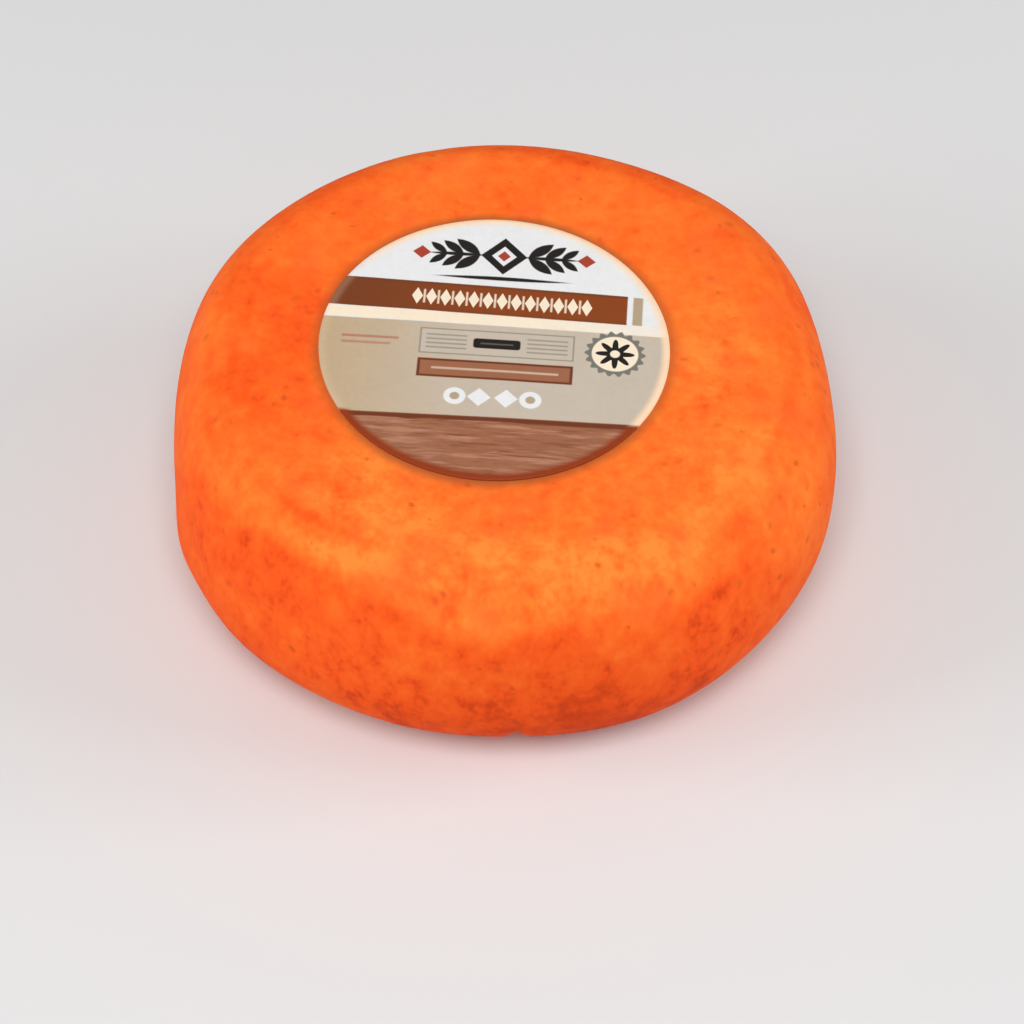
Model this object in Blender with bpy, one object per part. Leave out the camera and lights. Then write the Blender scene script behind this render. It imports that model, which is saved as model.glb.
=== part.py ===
"""An aged sheep cheese: a whole, uncut wheel with a paprika-red rind and a round paper label on top.

Units are metres, +Z is up. The wheel stands on its flat foot at z = 0, with its box centred on the Z axis.
"""

import math

import bpy
import numpy as np

# ---------------------------------------------------------------- driving dimensions of the wheel
WHEEL_RADIUS = 0.0840           # mean radius at the girth, the widest level
GIRTH_HEIGHT = 0.0320           # from the foot up to the girth
TOP_RISE = 0.0379               # from the girth up to the flat top, at the axis
TOP_FLAT_RADIUS = 0.0630        # the top is flat out to here, then the shoulder begins
FOOT_FLAT_RADIUS = 0.0530       # the foot is flat out to here
EDGE_EXPONENT = 2.3             # superellipse exponent of both rounded edges
TOP_SLOPE = -0.037              # the press left the top lower at +X: rise over run along X
TOP_CROWN = 0.0005              # how far the middle of the top stands above its flat edge
BLEND_HEIGHT = 0.0170           # half-height of the zone where the lower and the upper lean blend

# The wheel leans a little: how far its upper and its lower half stand off its axis, along X and Y
UPPER_LEAN = (0.00050, 0.00045)
LOWER_LEAN = (-0.00040, 0.00030)

# Slow lobes of the hand-moulded plan: (lobes round the wheel, height, azimuth of one crest in degrees)
PLAN_LOBES = (
    (2, 0.00075, 9.0),
    (3, 0.00043, -56.0),
    (4, 0.00094, 42.0),
    (6, 0.00047, -24.0),
    (7, 0.00015, -9.0),
    (8, 0.00025, -17.0),
)

# Local swells and dents of the side:
# (azimuth in degrees, height above the girth, half-width round the wheel, half-height, how far it stands out)
LOCAL_FORMS = (
    (-88.8, -0.0250, 0.0021, 0.0090, -0.0018),
    (-162.0, -0.0040, 0.0080, 0.0160, 0.0011),
)

# ---------------------------------------------------------------- driving dimensions of the label
LABEL_RADIUS = 0.0430
LABEL_CENTRE = (-0.0022, -0.0011)
LABEL_THICKNESS = 0.0004
LABEL_GAP = 0.0003              # clearance between the rind and the paper

# ---------------------------------------------------------------- mesh fineness
WHEEL_SEGMENTS = 144
TOP_RINGS = 5
SHOULDER_RINGS = 14
LOWER_RINGS = 12
FOOT_RINGS = 2
LABEL_SEGMENTS = 72
LABEL_RINGS = 3

# ---------------------------------------------------------------- materials: colour, roughness, metallic
RIND_COLOUR = (0.93, 0.13, 0.021, 1.0)
RIND_ROUGHNESS = 0.42
PAPER_COLOUR = (0.60, 0.50, 0.40, 1.0)
PAPER_ROUGHNESS = 0.38
NOT_METAL = 0.0


def clear_scene():
    """Remove every object, so that the script gives the same result in any file."""
    for item in list(bpy.data.objects):
        bpy.data.objects.remove(item, do_unlink=True)


def make_material(name, colour, roughness):
    """Return a Principled material of one colour."""
    material = bpy.data.materials.new(name)
    material.use_nodes = True
    shader = material.node_tree.nodes["Principled BSDF"]
    shader.inputs["Base Color"].default_value = colour
    shader.inputs["Roughness"].default_value = roughness
    shader.inputs["Metallic"].default_value = NOT_METAL
    return material


def lobed(azimuth):
    """Sum of cosine waves round the wheel: how far the plan stands out at each azimuth."""
    waves = [height * np.cos(count * (azimuth - math.radians(crest))) for count, height, crest in PLAN_LOBES]
    return np.sum(waves, axis=0)


def leaned(height, azimuth):
    """How far the lean moves the side outwards, blended from the lower half to the upper one."""
    share = 0.5 + 0.5 * np.tanh(height / BLEND_HEIGHT)
    along_x = LOWER_LEAN[0] + (UPPER_LEAN[0] - LOWER_LEAN[0]) * share
    along_y = LOWER_LEAN[1] + (UPPER_LEAN[1] - LOWER_LEAN[1]) * share
    return along_x * np.cos(azimuth) + along_y * np.sin(azimuth)


def edge_curve(turn):
    """Unit superellipse quarter: 0 gives its flat end (0, 1), a right angle gives its widest end (1, 0)."""
    power = 2.0 / EDGE_EXPONENT
    return np.sin(turn) ** power, np.maximum(np.cos(turn), 0.0) ** power


def top_profile():
    """Return radius and height above the girth, from the first ring of the top down to the girth."""
    flat = TOP_FLAT_RADIUS * np.arange(1, TOP_RINGS + 1) / TOP_RINGS
    out, up = edge_curve(np.linspace(0.0, math.pi / 2, SHOULDER_RINGS + 1)[1:])
    radius = np.concatenate([flat, TOP_FLAT_RADIUS + (WHEEL_RADIUS - TOP_FLAT_RADIUS) * out])
    height = np.concatenate([np.full(TOP_RINGS, TOP_RISE), TOP_RISE * up])
    return radius, height


def foot_profile():
    """Return radius and height from the girth, exclusive, down to the last ring of the foot."""
    out, down = edge_curve(np.linspace(math.pi / 2, 0.0, LOWER_RINGS + 1)[1:])
    flat = FOOT_FLAT_RADIUS * np.arange(FOOT_RINGS, 0, -1) / (FOOT_RINGS + 1)
    radius = np.concatenate([FOOT_FLAT_RADIUS + (WHEEL_RADIUS - FOOT_FLAT_RADIUS) * out, flat])
    height = np.concatenate([-GIRTH_HEIGHT * down, np.full(FOOT_RINGS, -GIRTH_HEIGHT)])
    return radius, height


def crown(radius):
    """Height that the slight doming adds to the flat top at a radius."""
    return TOP_CROWN * np.maximum(1.0 - (radius / TOP_FLAT_RADIUS) ** 2, 0.0)


def swollen(height, azimuth):
    """Sum of the local swells and dents: Gaussian bumps over the way round the wheel and the height."""
    total = 0.0
    for degrees, level, half_width, half_height, stand in LOCAL_FORMS:
        centre = math.radians(degrees)
        turn = np.arctan2(np.sin(azimuth - centre), np.cos(azimuth - centre))
        across = turn * WHEEL_RADIUS / half_width
        along = (height - level) / half_height
        total = total + stand * np.exp(-across ** 2 - along ** 2)
    return total


def wheel_points(radius, height, azimuth):
    """Place points of the turned profile, with the lobes, the lean, the swells and the slope of the top.

    The unevenness fades out towards the axis, so the middle of the top and of the foot stay in place.
    """
    uneven = lobed(azimuth) + leaned(height, azimuth) + swollen(height, azimuth)
    reach = radius + uneven * np.minimum(radius / FOOT_FLAT_RADIUS, 1.0)
    x = reach * np.cos(azimuth)
    y = reach * np.sin(azimuth)
    domed = height + np.where(height > 0.0, crown(radius), 0.0)
    z = domed + np.maximum(height, 0.0) / TOP_RISE * TOP_SLOPE * x
    return np.stack([x, y, z + GIRTH_HEIGHT], axis=-1)


def top_surface(x, y):
    """Height of the flat, domed and sloping top at a place on it."""
    return GIRTH_HEIGHT + TOP_RISE + TOP_SLOPE * x + crown(np.hypot(x, y))


def ring_solid(rings, first_pole, last_pole):
    """Return points and faces of a closed skin: rings of equal count between two poles.

    The rings run from the first pole to the last one, and each turns anticlockwise seen from above.
    """
    count = rings.shape[1]
    points = np.vstack([[first_pole], rings.reshape(-1, 3), [last_pole]])
    last = len(points) - 1
    faces = []
    for here in range(count):
        after = (here + 1) % count
        faces.append((0, 1 + here, 1 + after))
        for row in range(rings.shape[0] - 1):
            start = 1 + row * count
            faces.append((start + here, start + count + here, start + count + after, start + after))
        end = 1 + (rings.shape[0] - 1) * count
        faces.append((last, end + after, end + here))
    return points, faces


def add_piece(name, points, faces, material):
    """Make a smooth-shaded object of the given skin, with its own material."""
    mesh = bpy.data.meshes.new(name)
    mesh.from_pydata(points.tolist(), [], faces)
    mesh.validate()
    mesh.shade_smooth()
    mesh.set_sharp_from_angle(angle=math.radians(40.0))
    mesh.materials.append(material)
    piece = bpy.data.objects.new(name, mesh)
    bpy.context.scene.collection.objects.link(piece)
    return piece


def build_wheel():
    """Return points and faces of the whole wheel, with its box not yet centred."""
    azimuth = np.linspace(0.0, 2.0 * math.pi, WHEEL_SEGMENTS, endpoint=False)
    top_radius, top_height = top_profile()
    foot_radius, foot_height = foot_profile()
    radius = np.concatenate([top_radius, foot_radius])[:, None]
    height = np.concatenate([top_height, foot_height])[:, None]
    rings = wheel_points(radius, height, azimuth[None, :])
    first_pole = (0.0, 0.0, float(top_surface(0.0, 0.0)))
    return ring_solid(rings, first_pole, (0.0, 0.0, 0.0))


def build_label():
    """Return points and faces of the thin paper disc, which follows the top of the wheel."""
    azimuth = np.linspace(0.0, 2.0 * math.pi, LABEL_SEGMENTS, endpoint=False)
    steps = np.arange(1, LABEL_RINGS + 1) / LABEL_RINGS
    radius = LABEL_RADIUS * np.concatenate([steps, steps[::-1]])[:, None]
    lift = np.repeat([LABEL_GAP + LABEL_THICKNESS, LABEL_GAP], LABEL_RINGS)[:, None]
    x = LABEL_CENTRE[0] + radius * np.cos(azimuth)
    y = LABEL_CENTRE[1] + radius * np.sin(azimuth)
    rings = np.stack([x, y, top_surface(x, y) + lift], axis=-1)
    middle = float(top_surface(*LABEL_CENTRE)) + LABEL_GAP
    first_pole = (*LABEL_CENTRE, middle + LABEL_THICKNESS)
    return ring_solid(rings, first_pole, (*LABEL_CENTRE, middle))


def main():
    """Build the wheel and its label on a common frame centred under the wheel's box."""
    clear_scene()
    wheel_skin, wheel_faces = build_wheel()
    label_skin, label_faces = build_label()
    middle = (wheel_skin.min(axis=0) + wheel_skin.max(axis=0)) / 2.0
    shift = np.array([middle[0], middle[1], 0.0])
    rind = make_material("paprika_rind", RIND_COLOUR, RIND_ROUGHNESS)
    paper = make_material("label_paper", PAPER_COLOUR, PAPER_ROUGHNESS)
    add_piece("cheese_wheel", wheel_skin - shift, wheel_faces, rind)
    add_piece("round_label", label_skin - shift, label_faces, paper)


main()
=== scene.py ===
"""Looks of an aged sheep cheese: its paprika rind, its round printed label, a plain studio and the camera.

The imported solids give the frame: the wheel stands on z = 0 and its box is centred on the Z axis.
Lengths are metres unless a name ends in _mm or _px. Colours are linear, and linear() makes them so.
"""

import itertools
import logging
import math
from dataclasses import dataclass
from enum import Enum

import bpy
import numpy as np
from mathutils import Matrix, Vector


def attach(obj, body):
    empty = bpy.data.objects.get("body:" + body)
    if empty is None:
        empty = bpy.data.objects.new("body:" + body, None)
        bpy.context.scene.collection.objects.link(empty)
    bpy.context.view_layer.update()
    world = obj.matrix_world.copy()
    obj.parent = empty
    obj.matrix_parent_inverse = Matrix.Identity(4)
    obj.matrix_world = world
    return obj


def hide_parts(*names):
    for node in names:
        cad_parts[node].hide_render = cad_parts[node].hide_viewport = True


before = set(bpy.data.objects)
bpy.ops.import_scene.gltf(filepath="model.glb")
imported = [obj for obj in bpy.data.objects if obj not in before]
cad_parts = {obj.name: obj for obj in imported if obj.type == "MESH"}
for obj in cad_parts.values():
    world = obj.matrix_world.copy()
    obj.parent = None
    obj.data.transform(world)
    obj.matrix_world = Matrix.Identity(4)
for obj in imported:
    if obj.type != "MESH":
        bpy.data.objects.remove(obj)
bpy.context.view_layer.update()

LOG = logging.getLogger("cheese")
Array = np.ndarray
Socket = bpy.types.NodeSocket
Node = bpy.types.Node
Tree = bpy.types.NodeTree
Piece = bpy.types.Object
Material = bpy.types.Material
Triple = tuple[float, float, float]
Colour = Triple
Ways = dict[str, Socket]
Pair = tuple[float, float]
Layers = tuple[Pair, ...]
Stops = tuple[tuple[float, Colour], ...]

ROOT_BODY = "root"
MM = 0.001
FULL_TURN = 2.0 * math.pi
FRAME_PX = 1024                 # the picture is square

AXIS_PRIMES = (73856093, 19349663, 83492791)
SEED_PRIME = 2654435761
MIX_FACTOR = 73244475
HASH_MASK = 0xFFFFFFFF
LAYER_SHARE = 0.55              # height of each finer layer of noise against the one before
LAYER_LEVEL = 0.8               # keeps most of a layered sum from -1 to 1
SMALLEST_HOLLOW = 0.35          # radius of the smallest hollow against the largest


def linear(red: float, green: float, blue: float) -> Colour:
    """Make a colour of 0 to 255 linear by the sRGB curve: a power of 2.4 over a short straight toe."""
    shares = [value / 255.0 for value in (red, green, blue)]
    return tuple(s / 12.92 if s <= 0.04045 else ((s + 0.055) / 1.055) ** 2.4 for s in shares)


# ---------------------------------------------------------------- noise on arrays
def hashed(cells: Array, seed: int) -> Array:
    """Steady random numbers: each axis times a prime, then the bits mixed twice.

    Args:
        cells: Whole lattice places, with x, y and z in the last axis.
        seed: Picks one of many sets.

    Returns:
        Numbers from 0 to 1.
    """
    mixed = seed * SEED_PRIME & HASH_MASK
    for axis, prime in enumerate(AXIS_PRIMES):
        mixed = mixed ^ (cells[..., axis] * prime)
    mixed = mixed & HASH_MASK
    for _ in range(2):
        mixed = ((mixed ^ (mixed >> 16)) * MIX_FACTOR) & HASH_MASK
    return (mixed ^ (mixed >> 16)) / HASH_MASK


def soft_noise(points: Array, size: float, seed: int) -> Array:
    """Value noise: random numbers on a cubic lattice, eased between by the quintic step.

    Args:
        points: Places, x, y and z in the last axis.
        size: Edge of a lattice cell, about half a wave.
        seed: Picks one of many fields.

    Returns:
        Numbers from -1 to 1 that change smoothly.
    """
    scaled = points / size
    low = np.floor(scaled).astype(np.int64)
    part = scaled - low
    ease = part ** 3 * (part * (part * 6.0 - 15.0) + 10.0)
    total = np.zeros(points.shape[:-1])
    for corner in itertools.product((0, 1), repeat=3):
        weight = np.prod(np.where(np.array(corner) == 1, ease, 1.0 - ease), axis=-1)
        total += weight * hashed(low + np.array(corner), seed)
    return 2.0 * total - 1.0


def layered_noise(points: Array, size: float, layers: int, seed: int) -> Array:
    """Sum soft noise over layers, each of half the size and a fixed share of the height of the last.

    Args:
        points: Places, x, y and z in the last axis.
        size: Lattice size of the coarsest layer.
        layers: How many layers.
        seed: Seed of the first layer.

    Returns:
        Numbers mostly from -1 to 1.
    """
    shares = LAYER_SHARE ** np.arange(layers)
    parts = [share * soft_noise(points, size / 2 ** k, seed + k) for k, share in enumerate(shares)]
    return np.sum(parts, axis=0) / math.sqrt(float(np.sum(shares ** 2))) * LAYER_LEVEL


def scattered_hollows(points: Array, cell: float, radius: float, seed: int) -> Array:
    """Depth of round hollows, one to a lattice cell, each at a random place and of a random size.

    Args:
        points: Places, x, y and z in the last axis.
        cell: Edge of a lattice cell.
        radius: Radius of the largest hollow.
        seed: Picks one of many scatterings.

    Returns:
        Numbers from 0 to 1: one less the squared distance over the squared radius, squared again.
    """
    scaled = points / cell
    low = np.floor(scaled).astype(np.int64)
    depth = np.zeros(points.shape[:-1])
    for step in itertools.product((-1, 0, 1), repeat=3):
        place = low + np.array(step)
        middle = place + np.stack([hashed(place, seed + axis) for axis in range(3)], axis=-1)
        share = SMALLEST_HOLLOW + (1.0 - SMALLEST_HOLLOW) * hashed(place, seed + 3)
        away = np.sum((scaled - middle) ** 2, axis=-1) * (cell / (radius * share)) ** 2
        depth = np.maximum(depth, np.clip(1.0 - away, 0.0, 1.0) ** 2 * share)
    return depth


def ramp(values: Array, low: float | Array, high: float | Array) -> Array:
    """Smooth step from 0 at low to 1 at high."""
    share = np.clip((values - low) / (high - low), 0.0, 1.0)
    return share * share * (3.0 - 2.0 * share)


# ---------------------------------------------------------------- objects and meshes
def add_object(name: str, data: bpy.types.ID, place: Matrix = Matrix.Identity(4)) -> Piece:
    """Put an object into the scene.

    Args:
        name: Name of the object.
        data: Its mesh, light or camera.
        place: Where it stands and how it is turned; a mesh stays at the origin.

    Returns:
        The new object.
    """
    made = bpy.data.objects.new(name, data)
    made.matrix_world = place
    bpy.context.scene.collection.objects.link(made)
    return made


def ring_skin(name: str, rings: Array, first_pole: Array, last_pole: Array) -> Piece:
    """Make a closed, smooth-shaded skin from rings of points between two poles.

    Args:
        name: Name of the piece.
        rings: Rows of points, anticlockwise seen from the first pole's side.
        first_pole: Point inside the first ring.
        last_pole: Point inside the last ring.

    Returns:
        The new piece, at the origin, with its faces outwards.
    """
    rows, count = rings.shape[:2]
    points = np.concatenate([first_pole[None], rings.reshape(-1, 3), last_pole[None]])
    here = np.arange(count)
    after = (here + 1) % count
    start = 1 + count * np.arange(rows - 1)[:, None]
    quads = np.stack([start + here, start + count + here, start + count + after, start + after], axis=-1)
    end = 1 + count * (rows - 1)
    cap = np.stack([np.zeros(count, int), 1 + here, 1 + after], axis=-1)
    base = np.stack([np.full(count, len(points) - 1), end + after, end + here], axis=-1)
    mesh = bpy.data.meshes.new(name)
    mesh.from_pydata(points.tolist(), [], quads.reshape(-1, 4).tolist() + cap.tolist() + base.tolist())
    mesh.shade_smooth()
    return add_object(name, mesh)


def outward_normals(rings: Array) -> Array:
    """Unit normals of a grid of rings: the cross product of the way down the rows and the way round.

    Args:
        rings: Rows of points, anticlockwise seen from the first row's side.

    Returns:
        One normal for each point.
    """
    down = np.gradient(rings, axis=0)
    around = np.roll(rings, -1, axis=1) - np.roll(rings, 1, axis=1)
    normals = np.cross(down, around)
    return normals / np.maximum(np.linalg.norm(normals, axis=-1, keepdims=True), 1e-12)


def add_attribute(piece: Piece, name: str, rings: Array, first: float, last: float) -> None:
    """Store a number at each point of a ring skin, and one at each pole, for its material to read."""
    values = np.concatenate([[first], rings.ravel(), [last]]).astype(np.float32)
    piece.data.attributes.new(name, "FLOAT", "POINT").data.foreach_set("value", values)


# ---------------------------------------------------------------- shader building
@dataclass(frozen=True)
class Grain:
    """Fine grain of a surface: sizes of its two noises, strength and depth."""

    coarse: float
    fine: float
    strength: float
    depth: float


@dataclass
class Desk:
    """A node tree under construction, with short ways to add and join nodes."""

    tree: Tree

    def node(self, kind: str, *values: object, **settings: object) -> Node:
        """Add a node.

        Args:
            kind: Blender's name of its kind, such as ShaderNodeMath.
            values: Sockets or plain values for its first inputs, in order.
            settings: Its properties by name.

        Returns:
            The new node.
        """
        made = self.tree.nodes.new(kind)
        for name, setting in settings.items():
            setattr(made, name, setting)
        for socket, value in zip(made.inputs, values):
            self.feed(socket, value)
        return made

    def feed(self, socket: Socket, value: object) -> None:
        """Join a socket to another one, or set it to a plain value.

        Args:
            socket: The input.
            value: A socket, number, vector or colour.
        """
        if isinstance(value, bpy.types.NodeSocket):
            self.tree.links.new(value, socket)
        elif socket.type == "RGBA" and len(value) == 3:
            socket.default_value = (*value, 1.0)
        else:
            socket.default_value = value

    def fill(self, made: Node, **values: object) -> Node:
        """Feed inputs of a node by name.

        Args:
            made: The node.
            values: Name of each input, with underscores for its spaces, and its socket or plain value.

        Returns:
            The same node.
        """
        for name, value in values.items():
            self.feed(made.inputs[name.replace("_", " ")], value)
        return made

    def math(self, operation: str, *values: object) -> Socket:
        """Result of a Math node with Blender's name of the operation and the inputs in order."""
        return self.node("ShaderNodeMath", *values, operation=operation).outputs[0]

    def vector(self, operation: str, *values: object) -> Socket:
        """Vector result of a Vector Math node with the operation's name and the inputs in order."""
        return self.node("ShaderNodeVectorMath", *values, operation=operation).outputs["Vector"]

    def scaled(self, value: Socket, scale: float | Socket) -> Socket:
        """Vector or colour times a number."""
        made = self.node("ShaderNodeVectorMath", value, operation="SCALE")
        return self.fill(made, Scale=scale).outputs["Vector"]

    def split(self, value: Socket) -> tuple[Socket, ...]:
        """Split a vector into its x, y and z."""
        return tuple(self.node("ShaderNodeSeparateXYZ", value).outputs)

    def place(self) -> Socket:
        """Object coordinates."""
        return self.node("ShaderNodeTexCoord").outputs["Object"]

    def blend(self, share: float | Socket, low: Colour | Socket, high: Colour | Socket) -> Socket:
        """Mix of two colours: low where the share is 0 and high where it is 1."""
        made = self.node("ShaderNodeMix", data_type="RGBA", clamp_factor=True)
        return self.fill(made, Factor=share, A=low, B=high).outputs["Result"]

    def remap(self, value: Socket, low: float, high: float,
              to_low: float = 0.0, to_high: float = 1.0) -> Socket:
        """Smooth step that takes low to to_low and high to to_high, and is held beyond both."""
        ends = (low, high, to_low, to_high)
        return self.node("ShaderNodeMapRange", value, *ends, interpolation_type="SMOOTHSTEP").outputs[0]

    def ramp(self, value: Socket, stops: Stops) -> Socket:
        """Colour ramp.

        Args:
            value: Number from 0 to 1.
            stops: Places from 0 to 1 and their colours, blended in straight lines.

        Returns:
            The colour.
        """
        made = self.node("ShaderNodeValToRGB", value)
        marks = made.color_ramp.elements
        while len(marks) < len(stops):
            marks.new(0.5)
        for mark, (place, colour) in zip(marks, stops):
            mark.position = place
            mark.color = (*colour, 1.0)
        return made.outputs["Color"]

    def noise(self, place: Socket, size: float, detail: float, rough: float = 0.5) -> Socket:
        """3D noise from 0 to 1, about 0.5 on average, with waves about as long as the size."""
        made = self.fill(self.node("ShaderNodeTexNoise"), Vector=place, Scale=1.0 / size)
        return self.fill(made, Detail=detail, Roughness=rough).outputs["Fac"]

    def cloudy(self, place: Socket, level: float, layers: Layers, detail: float) -> Socket:
        """Add centred noise of several sizes to a level.

        Args:
            place: Where on the piece.
            level: Number to add to.
            layers: Size and height of each noise.
            detail: Number of finer layers of each noise.

        Returns:
            The level with the noise.
        """
        for size, height in layers:
            wave = self.math("SUBTRACT", self.noise(place, size, detail), 0.5)
            level = self.math("MULTIPLY_ADD", wave, height, level)
        return level

    def spots(self, place: Socket, cell: float, radius: float, strength: float) -> Socket:
        """Soft spots of wavering outline about scattered points.

        Args:
            place: Where on the piece.
            cell: Mean distance between the points.
            radius: Radius of a spot as a share of the cell.
            strength: Value at the middle of a spot that lies right on the surface.

        Returns:
            A number from 0 to the strength.
        """
        wobble = self.fill(self.node("ShaderNodeTexNoise"), Vector=place, Scale=2.0 / cell).outputs["Color"]
        moved = self.vector("ADD", place, self.scaled(wobble, 0.35 * cell))
        cells = self.fill(self.node("ShaderNodeTexVoronoi"), Vector=moved, Scale=1.0 / cell)
        return self.remap(cells.outputs["Distance"], radius, 0.0, 0.0, strength)

    def group(self, group: Tree, **values: object) -> Socket:
        """Place a node group, feed its inputs by name and return its one output."""
        return self.fill(self.node("ShaderNodeGroup", node_tree=group), **values).outputs[0]

    def grain_normal(self, grain: Tree, place: Socket, skin: Grain) -> Socket:
        """Normals of fine grain, from its group's height."""
        height = self.group(grain, Place=place, Coarse=1.0 / skin.coarse, Fine=1.0 / skin.fine)
        sizes = {"Strength": skin.strength, "Distance": skin.depth}
        return self.fill(self.node("ShaderNodeBump"), Height=height, **sizes).outputs["Normal"]


def new_group(name: str, numbers: tuple[str, ...], result: str) -> tuple[Desk, Ways, Socket]:
    """Start a shader node group that takes a place and numbers and gives one number.

    Args:
        name: Name of the group.
        numbers: Names of its number inputs.
        result: Name of its output.

    Returns:
        The desk of its tree, the sockets that bring its inputs in, and the socket that takes its result.
    """
    tree = bpy.data.node_groups.new(name, "ShaderNodeTree")
    kinds = {"Place": "NodeSocketVector", **dict.fromkeys(numbers, "NodeSocketFloat")}
    for label, kind in kinds.items():
        tree.interface.new_socket(name=label, in_out="INPUT", socket_type=kind)
    tree.interface.new_socket(name=result, in_out="OUTPUT", socket_type="NodeSocketFloat")
    desk = Desk(tree)
    entry, leaving = desk.node("NodeGroupInput"), desk.node("NodeGroupOutput")
    return desk, {label: entry.outputs[label] for label in kinds}, leaving.inputs[result]


def new_material(name: str) -> tuple[Material, Desk, Node]:
    """Start a node material.

    Args:
        name: Name of the material.

    Returns:
        The material, the desk of its tree and its Principled shader.
    """
    material = bpy.data.materials.new(name)
    material.use_nodes = True
    return material, Desk(material.node_tree), material.node_tree.nodes["Principled BSDF"]


def grain_group() -> Tree:
    """Build the fine leathery grain of both the rind and the paper: coarse noise and half as much fine.

    Returns:
        A group that takes the place and both scales and gives a height.
    """
    desk, ways, height = new_group("fine_grain", ("Coarse", "Fine"), "Height")
    coarse, fine = [
        desk.fill(desk.node("ShaderNodeTexNoise"), Vector=ways["Place"], Scale=ways[label], Detail=3.0)
        for label in ("Coarse", "Fine")]
    desk.feed(height, desk.math("MULTIPLY_ADD", fine.outputs["Fac"], 0.5, coarse.outputs["Fac"]))
    return desk.tree


# ---------------------------------------------------------------- the wheel's form
@dataclass(frozen=True)
class Lobe:
    """A slow cosine wave of the plan: how many round the wheel, its height and one crest's azimuth."""

    count: int
    height: float
    crest_degrees: float


@dataclass(frozen=True)
class Swell:
    """A local Gaussian bump or dent of the side."""

    azimuth_degrees: float
    level: float
    half_width: float
    half_height: float
    stand: float


@dataclass(frozen=True)
class WheelForm:
    """The uneven turned form of the wheel, in the same sizes as its solid."""

    radius: float = 0.0840
    girth_height: float = 0.0320
    top_rise: float = 0.0379
    top_flat_radius: float = 0.0630
    foot_flat_radius: float = 0.0530
    edge_exponent: float = 2.3
    edge_steps: int = 600
    top_slope: float = -0.037
    top_crown: float = 0.0005
    blend_height: float = 0.0170
    upper_lean: Pair = (0.00050, 0.00045)
    lower_lean: Pair = (-0.00040, 0.00030)
    lobes: tuple[Lobe, ...] = (
        Lobe(2, 0.00075, 9.0), Lobe(3, 0.00043, -56.0), Lobe(4, 0.00094, 42.0),
        Lobe(6, 0.00047, -24.0), Lobe(7, 0.00015, -9.0), Lobe(8, 0.00025, -17.0))
    swells: tuple[Swell, ...] = (
        Swell(-88.8, -0.0250, 0.0021, 0.0090, -0.0018),
        Swell(-162.0, -0.0040, 0.0080, 0.0160, 0.0011))

    def profile(self, spacing: float, hidden_radius: float, hidden_rows: int) -> tuple[Array, Array, Array]:
        """Rows of the turned profile from the top's middle over the shoulder to the foot's middle.

        Both edges are quarter superellipses. The rows are evenly spaced along the line, apart from a few
        wide ones inside the hidden radius of the top and inside the flat of the foot.

        Args:
            spacing: Distance between rows along the profile.
            hidden_radius: Radius of the top's middle that the label covers.
            hidden_rows: Number of rows inside it, and inside the foot's flat.

        Returns:
            Radius, height above the girth and distance along the profile from the axis, for each row.
        """
        turn = np.linspace(0.0, math.pi / 2, self.edge_steps)
        out = np.sin(turn) ** (2.0 / self.edge_exponent)
        up = np.clip(np.cos(turn), 0.0, 1.0) ** (2.0 / self.edge_exponent)
        top = self.top_flat_radius + (self.radius - self.top_flat_radius) * out
        foot = self.foot_flat_radius + (self.radius - self.foot_flat_radius) * out[::-1]
        radius = np.concatenate([[0.0], top, foot[1:], [0.0]])
        height = np.concatenate([[self.top_rise], self.top_rise * up, -self.girth_height * up[::-1][1:],
                                 [-self.girth_height]])
        run = np.concatenate([[0.0], np.cumsum(np.hypot(np.diff(radius), np.diff(height)))])
        foot_edge = run[-2] + spacing
        inner = np.linspace(0.0, hidden_radius, hidden_rows + 1)[1:-1]
        shown = np.linspace(hidden_radius, foot_edge, round((foot_edge - hidden_radius) / spacing))
        under = np.linspace(foot_edge, run[-1], hidden_rows + 2)[1:-1]
        rows = np.concatenate([inner, shown, under])
        return np.interp(rows, run, radius), np.interp(rows, run, height), rows

    def uneven(self, height: Array, azimuth: Array) -> Array:
        """How far the side stands out.

        Slow cosine lobes, a lean that blends from the lower half to the upper one, and Gaussian swells.

        Args:
            height: Height above the girth.
            azimuth: Angle round the wheel.

        Returns:
            Distance outwards.
        """
        share = 0.5 + 0.5 * np.tanh(height / self.blend_height)
        lean = [low + (high - low) * share for low, high in zip(self.lower_lean, self.upper_lean)]
        total = lean[0] * np.cos(azimuth) + lean[1] * np.sin(azimuth)
        for lobe in self.lobes:
            total = total + lobe.height * np.cos(lobe.count * (azimuth - math.radians(lobe.crest_degrees)))
        for swell in self.swells:
            turn = azimuth - math.radians(swell.azimuth_degrees)
            across = np.arctan2(np.sin(turn), np.cos(turn)) * self.radius / swell.half_width
            along = (height - swell.level) / swell.half_height
            total = total + swell.stand * np.exp(-across ** 2 - along ** 2)
        return total

    def crown(self, radius: Array) -> Array:
        """Height that the slight doming of the top adds: a parabola over the flat part."""
        return self.top_crown * np.maximum(1.0 - (radius / self.top_flat_radius) ** 2, 0.0)

    def place(self, radius: Array, height: Array, azimuth: Array) -> Array:
        """Points of the wheel, before its box is centred; the unevenness fades out towards the axis.

        Args:
            radius: Radius of the profile.
            height: Height above the girth.
            azimuth: Angle round the wheel.

        Returns:
            The points, with the top domed and sloping along x.
        """
        reach = radius + self.uneven(height, azimuth) * np.minimum(radius / self.foot_flat_radius, 1.0)
        x, y = reach * np.cos(azimuth), reach * np.sin(azimuth)
        lean = np.maximum(height, 0.0) / self.top_rise * self.top_slope * x
        z = self.girth_height + height + np.where(height > 0.0, self.crown(radius), 0.0) + lean
        return np.stack([x, y, z], axis=-1)

    def top_height(self, x: Array, y: Array) -> Array:
        """Height of the flat, domed and sloping top at a place on it, before its box is centred."""
        return self.girth_height + self.top_rise + self.top_slope * x + self.crown(np.hypot(x, y))

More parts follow.
